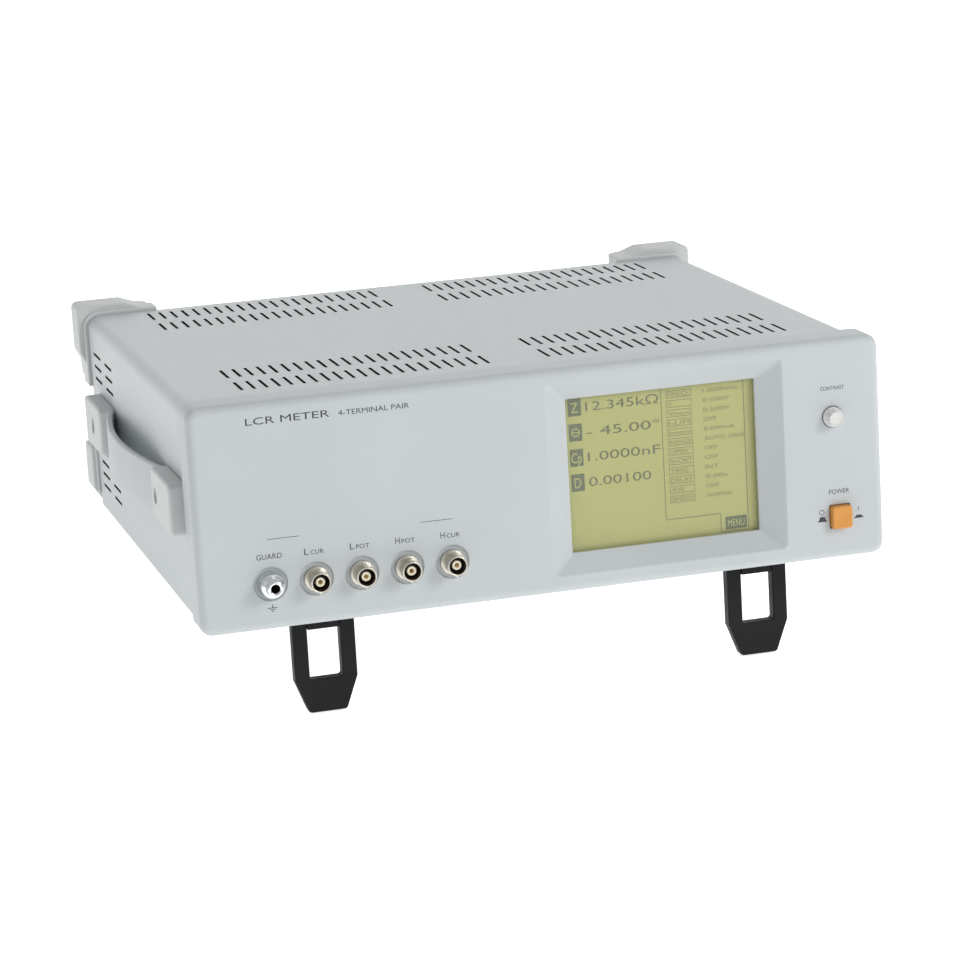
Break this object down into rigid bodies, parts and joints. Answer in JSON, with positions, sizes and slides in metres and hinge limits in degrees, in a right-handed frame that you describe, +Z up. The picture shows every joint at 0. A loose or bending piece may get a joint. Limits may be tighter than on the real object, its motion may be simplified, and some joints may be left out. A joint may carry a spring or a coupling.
{
  "type": "lcr meter",
  "caption": "Bench LCR meter: moulded front with screen and coaxial terminals, vented steel case, corner guards, strap handle and fold-out front legs.",
  "frame": {"origin": "middle of the whole object's base, on the surface that it stands on", "axes": "+Z up, +X to the right seen from the front, +Y from the front panel towards the back; the case is tilted back on its opened legs"},
  "size_m": [0.3534, 0.3334, 0.1619],
  "materials": {
    "case_plastic": "pale cool grey moulded plastic with a fine even texture",
    "painted_steel": "pale grey powder paint on folded steel sheet",
    "guard_plastic": "warm light grey moulded plastic",
    "black_plastic": "black moulded plastic with a slight sheen",
    "orange_plastic": "orange moulded button",
    "knob_plastic": "off-white moulded knob",
    "nickel": "warm nickel plate, turned",
    "chrome": "bright chrome plate",
    "brass": "gold-flashed brass contact",
    "insulator": "cream fluoropolymer insulator",
    "window": "clear acrylic window over the screen",
    "lcd": "yellow-green reflective liquid crystal screen",
    "zinc_steel": "zinc-plated steel",
    "circuit_board": "green circuit board with its parts",
    "core_steel": "varnished transformer core and winding"
  },
  "bodies": {
    "case": {"backlight_inverter": "circuit_board", "bnc_contact_h_cur": "brass", "bnc_contact_h_pot": "brass", "bnc_contact_l_cur": "brass", "bnc_contact_l_pot": "brass", "bnc_insulator_h_cur": "insulator", "bnc_insulator_h_pot": "insulator", "bnc_insulator_l_cur": "insulator", "bnc_insulator_l_pot": "insulator", "bnc_shell_h_cur": "nickel", "bnc_shell_h_pot": "nickel", "bnc_shell_l_cur": "nickel", "bnc_shell_l_pot": "nickel", "bottom_cover": "painted_steel", "chassis_rail_left": "zinc_steel", "chassis_rail_right": "zinc_steel", "contrast_pot": "zinc_steel", "display_board": "circuit_board", "display_window": "window", "front_bezel": "case_plastic", "guard_terminal": "chrome", "guard_terminal_nut": "nickel", "handle_cap_front": "guard_plastic", "handle_cap_rear": "guard_plastic", "handle_screw_front": "zinc_steel", "handle_screw_rear": "zinc_steel", "handle_strap": "case_plastic", "handler_connector": "zinc_steel", "lcd_panel": "lcd", "leg_bracket_left": "black_plastic", "leg_bracket_right": "black_plastic", "leg_pin_left": "zinc_steel", "leg_pin_right": "zinc_steel", "main_board": "circuit_board", "mains_inlet": "black_plastic", "measurement_shield": "zinc_steel", "option_slot_plate": "painted_steel", "power_supply_board": "circuit_board", "power_switch": "black_plastic", "power_transformer": "core_steel", "rear_earth_terminal": "nickel", "rear_guard_lower_left": "guard_plastic", "rear_guard_lower_right": "guard_plastic", "rear_guard_screw_lower_left": "zinc_steel", "rear_guard_screw_lower_right": "zinc_steel", "rear_guard_screw_upper_left": "zinc_steel", "rear_guard_screw_upper_right": "zinc_steel", "rear_guard_upper_left": "guard_plastic", "rear_guard_upper_right": "guard_plastic", "rear_panel": "painted_steel", "serial_connector": "zinc_steel", "sub_panel": "zinc_steel", "top_cover": "painted_steel"},
    "leg_left": {"leg_left": "black_plastic"},
    "leg_right": {"leg_right": "black_plastic"},
    "contrast_knob": {"contrast_knob": "knob_plastic"},
    "power_button": {"power_button": "orange_plastic"},
    "fuse_drawer": {"fuse_drawer": "black_plastic"}
  },
  "joints": [
    {"name": "leg_left_fold", "type": "hinge", "parent": "case", "child": "leg_left", "pos_m": [-0.1033, -0.13069, 0.04743], "axis": [1, 0, 0], "range_deg": [0, 90]},
    {"name": "leg_right_fold", "type": "hinge", "parent": "case", "child": "leg_right", "pos_m": [0.1162, -0.13069, 0.04743], "axis": [1, 0, 0], "range_deg": [0, 90]},
    {"name": "contrast_turn", "type": "hinge", "parent": "case", "child": "contrast_knob", "pos_m": [0.1491, -0.14799, 0.12491], "axis": [0, -0.9881, 0.1536], "range_deg": [-140, 140]},
    {"name": "power_press", "type": "slide", "parent": "case", "child": "power_button", "axis": [0, -0.9881, 0.1536], "range_m": [0, 0.0035]},
    {"name": "fuse_drawer_slide", "type": "slide", "parent": "case", "child": "fuse_drawer", "axis": [0, 0.9881, -0.1536], "range_m": [0, 0.02]}
  ]
}
